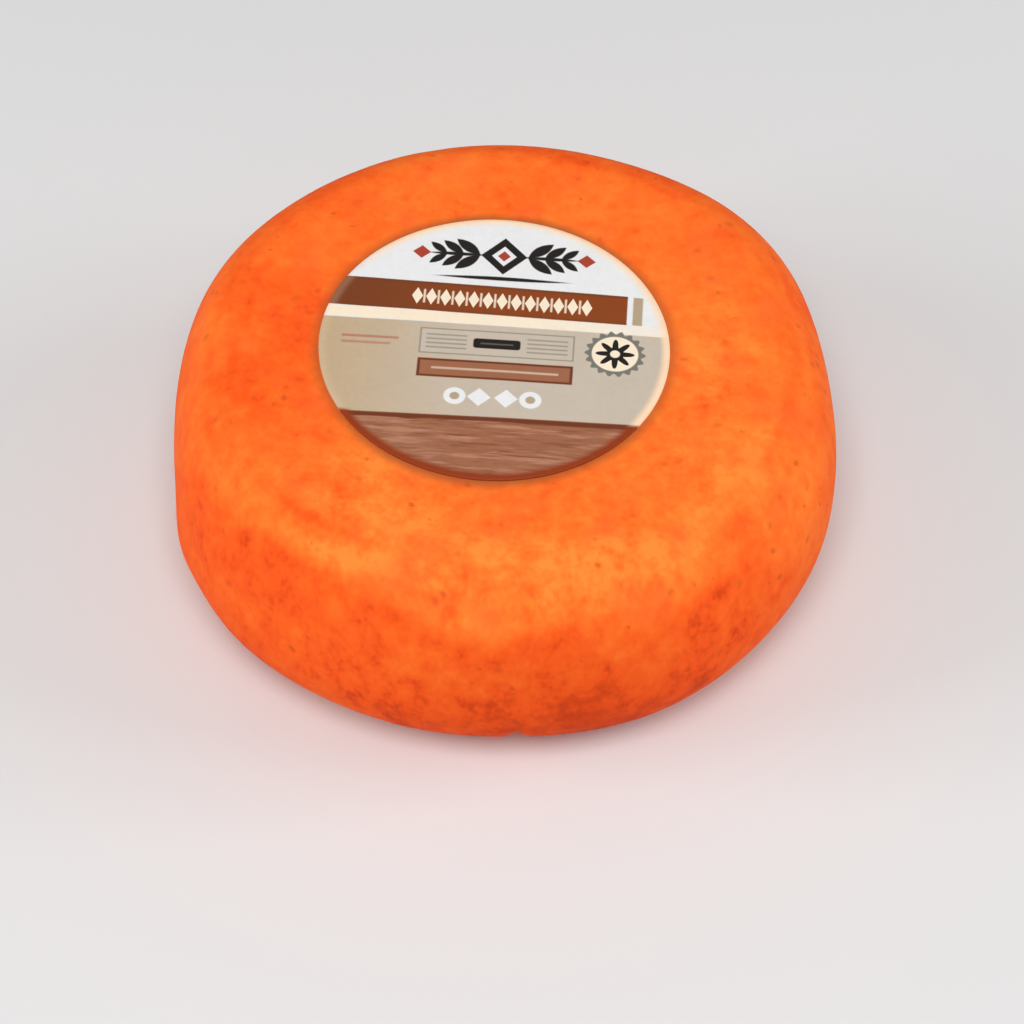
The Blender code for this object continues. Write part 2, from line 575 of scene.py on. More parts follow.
    def box_shift(self) -> Array:
        """Middle of the plan's box, which the solid was moved by so that its box is centred.

        Returns:
            The way along x and y, and none along z.
        """
        azimuth = np.linspace(0.0, FULL_TURN, 720, endpoint=False)
        radius, height, _ = self.profile(spacing=1.0 * MM, hidden_radius=40.0 * MM, hidden_rows=3)
        points = self.place(radius[:, None], height[:, None], azimuth[None]).reshape(-1, 3)
        middle = (points.min(axis=0) + points.max(axis=0)) / 2.0
        return np.array([middle[0], middle[1], 0.0])


FORM = WheelForm()
SHIFT = FORM.box_shift()
LABEL_RADIUS = 0.0430
LABEL_CENTRE = (-0.0022, -0.0011)


def slow_waves(points: Array) -> Array:
    """Gentle unevenness of the pressed surface, which the rind and the paper on it share."""
    return 0.10 * MM * layered_noise(points, 0.024, 2, 11)


# ---------------------------------------------------------------- finishes
@dataclass(frozen=True)
class RindFinish:
    """Paprika-rubbed rind: deep red low down, orange, then gold on the shoulder; satin, softly mottled. The
    deeper red low at the front is painted shade, and the gold of the front shoulder partly a painted
    highlight.

    Tone 0 is the deepest and tone 1 the most golden. A noise layer is its size and its height, and spots
    are their mean distance, their radius as a share of it and their strength.
    """

    tones: Stops = (
        (0.00, (0.64, 0.055, 0.0087)),
        (0.17, (0.88, 0.092, 0.012)),
        (0.33, (0.92, 0.120, 0.015)),
        (0.55, (0.95, 0.160, 0.021)),
        (0.78, (0.95, 0.200, 0.028)),
        (1.00, (0.96, 0.240, 0.037)),
    )
    drawn_out: Triple = (0.62, 0.62, 0.45)
    second_start: Triple = (0.31, 0.17, 0.05)
    mottle_layers: Layers = ((0.0120, 0.40), (0.0052, 0.42), (0.0022, 0.46), (0.0008, 0.28))
    rosy: Colour = (0.95, 0.125, 0.028)
    rosy_size: float = 0.0075
    rosy_noise: Pair = (0.46, 0.72)
    rosy_tones: Pair = (0.15, 0.50)
    rosy_share: float = 0.45
    freckle: Colour = (0.84, 0.086, 0.012)
    freckle_spots: Triple = (0.0046, 0.30, 0.42)
    pore: Colour = (0.66, 0.072, 0.014)
    pore_spots: Triple = (0.0056, 0.20, 0.60)
    pit: Colour = (0.52, 0.072, 0.012)
    pit_full: float = 0.62
    pit_share: float = 0.60
    # colour and reach of the dark ring round the label: partly oil, partly a painted shadow of the paper's
    # edge
    oil_and_shadow: Colour = (0.37, 0.100, 0.026)
    oil_and_shadow_full: float = 0.9 * MM
    oil_and_shadow_gone: float = 4.4 * MM
    oil_and_shadow_waver: float = 1.6 * MM
    oil_and_shadow_waver_size: float = 0.0060
    oil_and_shadow_least: float = 0.50
    oil_and_shadow_more: float = 0.36
    roughness: float = 0.60
    rough_layers: Layers = ((0.0060, 0.16),)
    specular: float = 0.02
    grain: Grain = Grain(0.0016, 0.0005, 0.30, 0.12 * MM)

    def material(self, grain: Tree) -> Material:
        """Build the rind's material: mottled tone, rosy patches, freckles, pores, pits, and the oily line
        with the label edge's painted shadow.

        Args:
            grain: The fine grain group.

        Returns:
            A material that reads Object coordinates and the rind's own attributes.
        """
        material, desk, shader = new_material("paprika_rind_finish")
        place = desk.place()
        drawn = desk.vector("MULTIPLY", place, self.drawn_out)
        second = desk.vector("ADD", drawn, self.second_start)
        tone = self.attribute(desk, "tone")
        mottle = desk.cloudy(drawn, 0.0, self.mottle_layers, 1.0)
        mottle = desk.math("MULTIPLY_ADD", mottle, self.attribute(desk, "mottle"), tone)
        rosy = desk.remap(desk.noise(second, self.rosy_size, 2.0), *self.rosy_noise, 0.0, self.rosy_share)
        rosy = desk.math("MULTIPLY", rosy, desk.remap(tone, *self.rosy_tones))
        colour = desk.ramp(mottle, self.tones)
        for share, over in (
                (rosy, self.rosy),
                (desk.spots(drawn, *self.freckle_spots), self.freckle),
                (desk.spots(second, *self.pore_spots), self.pore),
                (desk.remap(self.attribute(desk, "pit"), 0.0, self.pit_full, 0.0, self.pit_share), self.pit),
                # painted shadow and oily line round the label's edge
                (self.oil_and_shadow_ring(desk, place), self.oil_and_shadow)):
            colour = desk.blend(share, colour, over)
        rough = desk.cloudy(place, self.roughness, self.rough_layers, 1.0)
        normal = desk.grain_normal(grain, place, self.grain)
        desk.fill(shader, Base_Color=colour, Roughness=rough, Specular_IOR_Level=self.specular, Normal=normal)
        return material

    def oil_and_shadow_ring(self, desk: Desk, place: Socket) -> Socket:
        """Mask of the dark line round the paper's edge on the rind: partly an oily line, partly a painted
        shadow of the edge.

        It is full at the label's radius and eases out over the next millimetres, with a wavering edge. It
        is stronger towards +Y and -Y, as the squared sine of the angle. The wheel's lower half has none.

        Args:
            desk: The rind's desk.
            place: Object coordinates.

        Returns:
            A number from 0 to 1.
        """
        centre = (LABEL_CENTRE[0] - SHIFT[0], LABEL_CENTRE[1] - SHIFT[1], 0.0)
        flat = desk.vector("MULTIPLY", desk.vector("SUBTRACT", place, centre), (1.0, 1.0, 0.0))
        away = desk.node("ShaderNodeVectorMath", flat, operation="LENGTH").outputs["Value"]
        waver = desk.noise(place, self.oil_and_shadow_waver_size, 2.0)
        wavering = desk.math("MULTIPLY_ADD", waver, self.oil_and_shadow_waver, away)
        near = desk.remap(wavering, LABEL_RADIUS + self.oil_and_shadow_gone, LABEL_RADIUS + self.oil_and_shadow_full)
        sine = desk.math("DIVIDE", desk.split(flat)[1], away)
        squared = desk.math("MULTIPLY", sine, sine)
        strength = desk.math("MULTIPLY_ADD", squared, self.oil_and_shadow_more, self.oil_and_shadow_least)
        upper = desk.math("GREATER_THAN", desk.split(place)[2], FORM.girth_height)
        return desk.math("MULTIPLY", desk.math("MULTIPLY", near, strength), upper)

    @staticmethod
    def attribute(desk: Desk, name: str) -> Socket:
        """Read one of the rind's own point attributes as a number."""
        return desk.node("ShaderNodeAttribute", attribute_name=name).outputs["Fac"]


# ---------------------------------------------------------------- the print
@dataclass
class Outline(Desk):
    """The desk of a shape's group, with the group's inputs and the place about the shape's centre.

    Each formula gives about the millimetres outside the shape's edge, and less than zero inside it.
    """

    ways: Ways
    x: Socket
    y: Socket

    def away(self) -> Socket:
        """Distance from the shape's centre: the root of the summed squares."""
        square = self.math("MULTIPLY", self.y, self.y)
        return self.math("SQRT", self.math("MULTIPLY_ADD", self.x, self.x, square))

    def climbing(self) -> Socket:
        """Height above a middle line that climbs along x."""
        return self.math("SUBTRACT", self.y, self.math("MULTIPLY", self.x, self.ways["Climb"]))

    def bar(self) -> Socket:
        """A box with rounded corners, whose middle line climbs along x.

        Returns:
            The root of the summed squares of both ways past the box's core, which is the box less its
            corner radius, or the larger way inside it; in both cases less that radius.
        """
        over = []
        for value, half in ((self.x, "Half width"), (self.climbing(), "Half height")):
            beyond = self.math("SUBTRACT", self.math("ABSOLUTE", value), self.ways[half])
            over.append(self.math("ADD", beyond, self.ways["Corner"]))
        squares = [self.math("POWER", self.math("MAXIMUM", part, 0.0), 2.0) for part in over]
        corner = self.math("SQRT", self.math("ADD", *squares))
        inner = self.math("MINIMUM", self.math("MAXIMUM", *over), 0.0)
        return self.math("SUBTRACT", self.math("ADD", corner, inner), self.ways["Corner"])

    def fade(self) -> Socket:
        """A strip without ends, that climbs along x."""
        return self.math("SUBTRACT", self.math("ABSOLUTE", self.climbing()), self.ways["Half height"])

    def disc(self) -> Socket:
        """A disc."""
        return self.math("SUBTRACT", self.away(), self.ways["Radius"])

    def lozenge(self) -> Socket:
        """A lozenge: where both scaled distances add up to one.

        Returns:
            The excess over one, times the half height.
        """
        across = self.math("DIVIDE", self.math("ABSOLUTE", self.x), self.ways["Half width"])
        along = self.math("DIVIDE", self.math("ABSOLUTE", self.y), self.ways["Half height"])
        excess = self.math("SUBTRACT", self.math("ADD", across, along), 1.0)
        return self.math("MULTIPLY", excess, self.ways["Half height"])

    def leaf(self) -> Socket:
        """A turned leaf: where the squared scaled way along it and the scaled one across add up to one.

        Returns:
            The excess over one, times the half width.
        """
        cosine, sine = (self.math(name, self.ways["Turn"]) for name in ("COSINE", "SINE"))
        along = self.math("MULTIPLY_ADD", self.x, cosine, self.math("MULTIPLY", self.y, sine))
        across = self.math("MULTIPLY", self.y, cosine)
        across = self.math("SUBTRACT", across, self.math("MULTIPLY", self.x, sine))
        share = self.math("POWER", self.math("DIVIDE", along, self.ways["Half length"]), 2.0)
        width = self.math("DIVIDE", self.math("ABSOLUTE", across), self.ways["Half width"])
        excess = self.math("SUBTRACT", self.math("ADD", share, width), 1.0)
        return self.math("MULTIPLY", excess, self.ways["Half width"])

    def rosette(self) -> Socket:
        """A disc whose radius follows a cosine of the angle.

        Returns:
            The distance outside it.
        """
        angle = self.math("MULTIPLY", self.math("ARCTAN2", self.y, self.x), self.ways["Petals"])
        wave = self.math("COSINE", angle)
        radius = self.math("MULTIPLY_ADD", wave, self.ways["Depth"], self.ways["Radius"])
        return self.math("SUBTRACT", self.away(), radius)


class Kind(Enum):
    """Kinds of printed shape, each with its formula and the names of its numbers."""

    BAR = (Outline.bar, ("Half width", "Half height", "Corner", "Climb"))
    FADE = (Outline.fade, ("Half width", "Half height", "Climb"))
    DISC = (Outline.disc, ("Radius",))
    LOZENGE = (Outline.lozenge, ("Half width", "Half height"))
    LEAF = (Outline.leaf, ("Half length", "Half width", "Turn"))
    ROSETTE = (Outline.rosette, ("Radius", "Petals", "Depth"))

    def group(self) -> Tree:
        """Build the group that draws one shape of this kind on the paper.

        Returns:
            A group that takes the place on the paper in millimetres, the shape's centre and its numbers. Its
            mask is 1 inside and 0 outside, eased over a soft edge, and a fade's also falls along x.
        """
        formula, numbers = self.value
        desk, ways, mask = new_group(f"print_{self.name.lower()}", ("X", "Y", *numbers, "Soft"), "Mask")
        across, up, _ = desk.split(ways["Place"])
        x, y = desk.math("SUBTRACT", across, ways["X"]), desk.math("SUBTRACT", up, ways["Y"])
        outside = formula(Outline(desk.tree, ways, x, y))
        inside = desk.remap(desk.math("DIVIDE", outside, ways["Soft"]), 1.0, -1.0)
        if self is Kind.FADE:
            fall = desk.remap(desk.math("DIVIDE", x, ways["Half width"]), 1.0, -1.0)
            inside = desk.math("MULTIPLY", inside, fall)
        desk.feed(mask, inside)
        return desk.tree


class Ink(Enum):
    """The label's printed colours, linear, for paper that the studio lights a little over its own white."""

    WHITE = linear(226, 226, 226)
    CREAM = linear(240, 223, 198)
    RIM = linear(248, 213, 178)
    BROWN = linear(135, 65, 27)
    BROWN_DARK = linear(109, 58, 31)
    OLIVE = linear(177, 155, 127)
    BEIGE = linear(193, 179, 162)
    TAN = linear(186, 158, 121)
    WOOD = linear(153, 99, 72)
    WOOD_LIGHT = linear(184, 132, 106)
    WOOD_DARK = linear(109, 54, 31)
    # red-brown of the painted shade along the paper's edge round the wood
    EDGE = linear(140, 54, 19)
    DARK = linear(34, 30, 28)
    GREY = linear(117, 115, 106)
    RED = linear(165, 65, 46)


@dataclass(frozen=True)
class Shape:
    """A printed shape: its kind, ink and centre, its numbers in millimetres, its strength and soft edge."""

    kind: Kind
    ink: Ink
    x: float
    y: float
    numbers: tuple[float, ...]
    strength: float = 1.0
    soft: float = 0.18


@dataclass
class Press:
    """What prints on the paper: its desk, the groups of the shapes and the place on it in millimetres."""

    desk: Desk
    groups: dict[Kind, Tree]
    flat: Socket

    def mask(self, shape: Shape) -> Socket:
        """Mask of a shape: its kind's group, fed with its numbers, times its strength.

        Args:
            shape: The shape.

        Returns:
            The strength inside it and 0 outside it.
        """
        places = {"Place": self.flat, "X": shape.x, "Y": shape.y, "Soft": shape.soft}
        drawn = self.desk.group(
            self.groups[shape.kind], **places, **dict(zip(shape.kind.value[1], shape.numbers)))
        return self.desk.math("MULTIPLY", drawn, shape.strength)

    def lay(self, shapes: list[Shape], colour: Colour | Socket) -> Socket:
        """Lay shapes over a colour one by one.

        Args:
            shapes: The shapes, from back to front.
            colour: What lies under them.

        Returns:
            The printed colour.
        """
        for shape in shapes:
            colour = self.desk.blend(self.mask(shape), colour, shape.ink.value)
        return colour


def bar(ink: Ink, x: float, y: float, width: float, height: float,
        corner: float = 0.1, climb: float = 0.0, **more: float) -> Shape:
    """A bar of full width and height about its centre, which climbs by a share of the way along x."""
    return Shape(Kind.BAR, ink, x, y, (width / 2, height / 2, corner, climb), **more)


def fade(ink: Ink, x: float, y: float, width: float, height: float,
         climb: float = 0.0, **more: float) -> Shape:
    """A strip that fades out along x over its width; a negative width fades it the other way."""
    return Shape(Kind.FADE, ink, x, y, (width / 2, height / 2, climb), **more)


def disc(ink: Ink, x: float, y: float, radius: float, **more: float) -> Shape:
    """A disc about its centre."""
    return Shape(Kind.DISC, ink, x, y, (radius,), **more)


def lozenge(ink: Ink, x: float, y: float, width: float, height: float) -> Shape:
    """A lozenge of full width and height about its centre."""
    return Shape(Kind.LOZENGE, ink, x, y, (width / 2, height / 2))


def leaf(ink: Ink, x: float, y: float, length: float, width: float, degrees: float = 0.0) -> Shape:
    """A leaf of full length and width about its centre, turned from the x axis."""
    return Shape(Kind.LEAF, ink, x, y, (length / 2, width / 2, math.radians(degrees)))


def rosette(ink: Ink, x: float, y: float, radius: float, petals: float, depth: float) -> Shape:
    """A rosette about its centre."""
    return Shape(Kind.ROSETTE, ink, x, y, (radius, petals, depth))


# places, levels and climbs of the print, in millimetres from the label's centre
PRINT_MIDDLE = 0.6
CREST_LEVEL = 30.2
BOX_LEVEL = 0.4
PLATE_LEVEL = -8.4
RING_LEVEL = -17.2
SEAL_PLACE = (29.6, -0.4)
FIELD_WIDTH = 96.0              # wider than the label, so that its edge cuts the field
BAND_MIDDLE = -8.2
BAND_CLIMB = -0.018
LINE_CLIMB = -0.012
BEIGE_CLIMB = -0.004
WOOD_CLIMB = 0.012


def colour_fields() -> list[Shape]:
    """The print's fields: the beige middle, the cream line, the pale cap, the brown band and the wood.

    Returns:
        Their shapes, from back to front.
    """
    band = {"climb": BAND_CLIMB}
    return [
        bar(Ink.BEIGE, 0.0, -8.8, FIELD_WIDTH, 30.6, climb=BEIGE_CLIMB),
        fade(Ink.TAN, -24.0, -8.8, 56.0, 30.6, climb=BEIGE_CLIMB, strength=0.9),
        bar(Ink.CREAM, 0.0, 8.3, FIELD_WIDTH, 3.4, climb=LINE_CLIMB),
        fade(Ink.WHITE, 22.0, 8.3, -44.0, 3.4, climb=LINE_CLIMB, strength=0.5),
        bar(Ink.WHITE, 0.0, 29.7, FIELD_WIDTH, 20.0, **band),
        bar(Ink.BROWN, BAND_MIDDLE, 15.0, 80.4, 9.6, **band),
        fade(Ink.BROWN_DARK, -18.0, 15.2, 40.0, 9.6, strength=0.7, **band),
        bar(Ink.BROWN_DARK, BAND_MIDDLE, 19.45, 80.4, 0.8, strength=0.7, **band),
        bar(Ink.BROWN_DARK, BAND_MIDDLE, 10.5, 80.4, 0.7, strength=0.5, **band),
        bar(Ink.OLIVE, 34.6, 14.2, 2.4, 9.4, **band),
        bar(Ink.WOOD, 0.0, -35.0, FIELD_WIDTH, 23.2, climb=WOOD_CLIMB),
        bar(Ink.WOOD_DARK, 0.0, -24.3, FIELD_WIDTH, 1.6, climb=WOOD_CLIMB, soft=0.35),
    ]


def sprig(side: float) -> list[Shape]:
    """A sprig along x: a tapered stem, three pairs of leaves that shrink outwards and a bud.

    Args:
        side: 1 for the sprig towards +X and -1 for the other.

    Returns:
        Its shapes.
    """
    x, y = PRINT_MIDDLE + side * 4.6, CREST_LEVEL
    shapes = [leaf(Ink.DARK, x + side * 7.0, y, 15.0, 1.2)]
    for step in range(3):
        size = 8.0 - 1.2 * step
        middle = x + side * (1.6 + 4.1 * step + 0.36 * size)
        shapes += [leaf(Ink.DARK, middle, y + rise * 0.33 * size, size, 0.38 * size, 40.0 * rise * side)
                   for rise in (-1.0, 1.0)]
    return shapes + [lozenge(Ink.RED, x + side * 16.0, y, 4.6, 4.4)]


def band_row() -> list[Shape]:
    """A row of lozenges with short bars between them, along the brown band.

    Returns:
        Its shapes.
    """
    shapes = []
    for step in range(-6, 7):
        x = 1.0 + 3.5 * step
        y = 14.9 + BAND_CLIMB * (x - BAND_MIDDLE)
        shapes += [lozenge(Ink.CREAM, x, y, 2.7, 5.6), bar(Ink.CREAM, x + 1.75, y, 0.5, 4.6, strength=0.85)]
    return shapes[:-1]


def ornaments() -> list[Shape]:
    """Plain ornaments of a generic design: a crest, a row, a seal, a lined box, a plate and rings.

    Returns:
        The shapes that lie over the fields, from back to front.
    """
    x = PRINT_MIDDLE
    shapes = [
        lozenge(Ink.DARK, x, CREST_LEVEL, 11.6, 12.6),
        lozenge(Ink.WHITE, x, CREST_LEVEL, 6.2, 6.8),
        lozenge(Ink.RED, x, CREST_LEVEL, 3.2, 3.6),
        *sprig(-1.0),
        *sprig(1.0),
        leaf(Ink.DARK, x, 22.4, 34.0, 1.3),
        *band_row(),
        rosette(Ink.GREY, *SEAL_PLACE, 7.0, 18.0, 0.5),
        disc(Ink.CREAM, *SEAL_PLACE, 5.7),
        rosette(Ink.DARK, *SEAL_PLACE, 3.5, 8.0, 1.3),
        disc(Ink.CREAM, *SEAL_PLACE, 1.2),
        bar(Ink.RED, -30.5, 0.6, 14.0, 0.8, strength=0.55),
        bar(Ink.RED, -31.5, -1.4, 12.0, 0.8, strength=0.45),
        bar(Ink.GREY, x, BOX_LEVEL, 38.0, 8.4, strength=0.7),
        bar(Ink.BEIGE, x, BOX_LEVEL, 37.2, 7.6),
        bar(Ink.DARK, x, BOX_LEVEL, 11.6, 3.2, corner=0.8),
        bar(Ink.GREY, x, BOX_LEVEL, 8.0, 0.5, strength=0.5),
        bar(Ink.WOOD_DARK, x, PLATE_LEVEL, 38.0, 6.0),
        bar(Ink.WOOD, x, PLATE_LEVEL, 36.6, 4.6),
        bar(Ink.CREAM, x, PLATE_LEVEL, 31.0, 0.7, strength=0.45),
    ]
    for side in (-1.0, 1.0):
        lines_x, ring_x, lozenge_x = (x + side * away for away in (12.4, 9.2, 3.3))
        shapes += [bar(Ink.GREY, lines_x, BOX_LEVEL + rise, 10.0, 0.55, strength=0.6)
                   for rise in (-2.1, -0.7, 0.7, 2.1)]
        shapes += [disc(Ink.WHITE, ring_x, RING_LEVEL, 2.7), disc(Ink.OLIVE, ring_x, RING_LEVEL, 1.2),
                   lozenge(Ink.WHITE, lozenge_x, RING_LEVEL, 5.8, 5.8)]
    return shapes


@dataclass(frozen=True)
class PaperFinish:
    """Printed paper with a satin varnish: generic print, a wood-like lower field and a painted red-brown
    shade along its edge.
    """

    radius_mm: float = LABEL_RADIUS / MM
    rim_mm: float = 1.7
    rim_soft_mm: float = 1.0
    rim_slant: float = 0.9
    rim_slant_mm: Pair = (-14.0, 12.0)
    rim_least: float = 0.12
    rim_most: float = 0.92
    # inset and softness of the painted shade along the wood's edge
    edge_shade_mm: float = 1.9
    edge_shade_soft_mm: float = 1.1
    wood_top_mm: float = -23.4
    wood_ease_mm: float = 0.8
    wood_stretch: Triple = (0.085, 0.95, 1.0)
    wood_noise: Pair = (0.46, 0.68)
    wood_streaks: tuple[tuple[float, Ink, float], ...] = (
        (0.0, Ink.WOOD_DARK, 0.55), (7.3, Ink.WOOD_LIGHT, 0.75))
    print_layers: Layers = ((9.0, 0.10), (1.6, 0.10))
    roughness: float = 0.42
    rough_layers: Layers = ((0.012, 0.12),)
    specular: float = 0.20
    grain: Grain = Grain(0.0011, 0.0003, 0.12, 0.05 * MM)

    def material(self, grain: Tree) -> Material:
        """Build the label's material: the fields, the wood's streaks, the ornaments and the tinted edge.

        Args:
            grain: The fine grain group.

        Returns:
            A material that reads the label's own UV map, which spans its diameter.
        """
        material, desk, shader = new_material("printed_paper_finish")
        spread = desk.node("ShaderNodeUVMap", uv_map="print").outputs["UV"]
        flat = desk.vector("SUBTRACT", spread, (0.5, 0.5, 0.0))
        flat = desk.scaled(flat, 2.0 * self.radius_mm)
        press = Press(desk, {kind: kind.group() for kind in Kind}, flat)
        colour = self.wood_lines(press, press.lay(colour_fields(), Ink.WHITE.value))
        colour = self.edged(press, press.lay(ornaments(), colour))
        colour = desk.scaled(colour, desk.cloudy(flat, 1.0, self.print_layers, 2.0))
        place = desk.place()
        rough = desk.cloudy(place, self.roughness, self.rough_layers, 3.0)
        normal = desk.grain_normal(grain, place, self.grain)
        desk.fill(shader, Base_Color=colour, Roughness=rough, Specular_IOR_Level=self.specular, Normal=normal)
        return material

    def edged(self, press: Press, colour: Socket) -> Socket:
        """Tint the paper's edge: cream over the pale fields, faint at -X, and a painted red-brown shade round
        the wood.

        Args:
            press: What prints on the paper.
            colour: Colour of the print.

        Returns:
            The tinted colour.
        """
        desk = press.desk
        x, y, _ = desk.split(press.flat)
        rim, edge_shade = [
            desk.math("SUBTRACT", 1.0, press.mask(disc(Ink.RIM, 0.0, 0.0, self.radius_mm - inset, soft=soft)))
            for inset, soft in ((self.rim_mm, self.rim_soft_mm), (self.edge_shade_mm, self.edge_shade_soft_mm))]
        low = desk.remap(y, self.wood_top_mm + self.wood_ease_mm, self.wood_top_mm - self.wood_ease_mm)
        upper = desk.math("MULTIPLY", rim, desk.math("SUBTRACT", 1.0, low))
        slant = desk.math("MULTIPLY_ADD", x, self.rim_slant, y)
        fall = desk.remap(slant, *self.rim_slant_mm, self.rim_least, self.rim_most)
        pale = desk.math("MULTIPLY", upper, fall)
        colour = desk.blend(pale, colour, Ink.RIM.value)
        # painted shade: red-brown along the paper's edge round the wood
        return desk.blend(desk.math("MULTIPLY", edge_shade, low), colour, Ink.EDGE.value)

    def wood_lines(self, press: Press, colour: Socket) -> Socket:
        """Lay dark and light streaks along x over the lower field: noise stretched along the boards.

        Args:
            press: What prints on the paper.
            colour: Colour of the fields.

        Returns:
            The colour with the streaks.
        """
        desk = press.desk
        field = press.mask(bar(Ink.WOOD, 0.0, -35.2, FIELD_WIDTH, 20.8, climb=WOOD_CLIMB, soft=0.3))
        for offset, ink, strength in self.wood_streaks:
            shifted = desk.vector("ADD", press.flat, (0.0, offset, offset))
            stretched = desk.vector("MULTIPLY", shifted, self.wood_stretch)
            streak = desk.remap(desk.noise(stretched, 1.0, 3.0, 0.6), *self.wood_noise, 0.0, strength)
            colour = desk.blend(desk.math("MULTIPLY", field, streak), colour, ink.value)
        return colour


@dataclass(frozen=True)
class FloorFinish:
    """Plain pale studio floor with the faintest clouding."""

    pale: Colour = linear(214, 214, 214)
    paler: Colour = linear(218, 218, 218)
    cloud_size: float = 0.6
    roughness: float = 0.7

    def material(self) -> Material:
        """Build the floor's material: two pale greys mixed by noise.

        Returns:
            The material.
        """
        material, desk, shader = new_material("pale_floor_finish")
        colour = desk.blend(desk.noise(desk.place(), self.cloud_size, 2.0), self.pale, self.paler)
        desk.fill(shader, Base_Color=colour, Roughness=self.roughness)
        return material


# ---------------------------------------------------------------- sub-assemblies
@dataclass(frozen=True)
class Bell:
    """A bell over the way round the wheel: middle and half-width in degrees, height and power."""

    degrees: float
    half_width: float
    height: float
    power: float = 2.0

    def at(self, azimuth: Array) -> Array:
        """The height times an exponential that falls with a power of the angle over the half-width.

        Args:
            azimuth: Angle round the wheel.

        Returns:
            The bell at that angle.
        """
        turn = azimuth - math.radians(self.degrees)
        away = np.degrees(np.abs(np.arctan2(np.sin(turn), np.cos(turn)))) / self.half_width
        return self.height * np.exp(-away ** self.power)


@dataclass(frozen=True)
class Belt:
    """A number that changes round the wheel: a base with bells on it."""

    base: float
    bells: tuple[Bell, ...]

    def at(self, azimuth: Array) -> Array:
        """The base and the bells at an angle round the wheel."""
        return self.base + sum(bell.at(azimuth) for bell in self.bells)


@dataclass(frozen=True)
class Patch:
    """A soft patch of lighter or deeper rind: its azimuth, its distance along the profile and half-sizes."""

    azimuth_degrees: float
    run_mm: float
    half_degrees: float
    half_run_mm: float
    amount: float

    def at(self, azimuth: Array, run_mm: Array) -> Array:
        """The amount times a bell over the azimuth and one over the distance along the profile."""
        across = Bell(self.azimuth_degrees, self.half_degrees, self.amount).at(azimuth)
        return across * np.exp(-((run_mm - self.run_mm) / self.half_run_mm) ** 2)


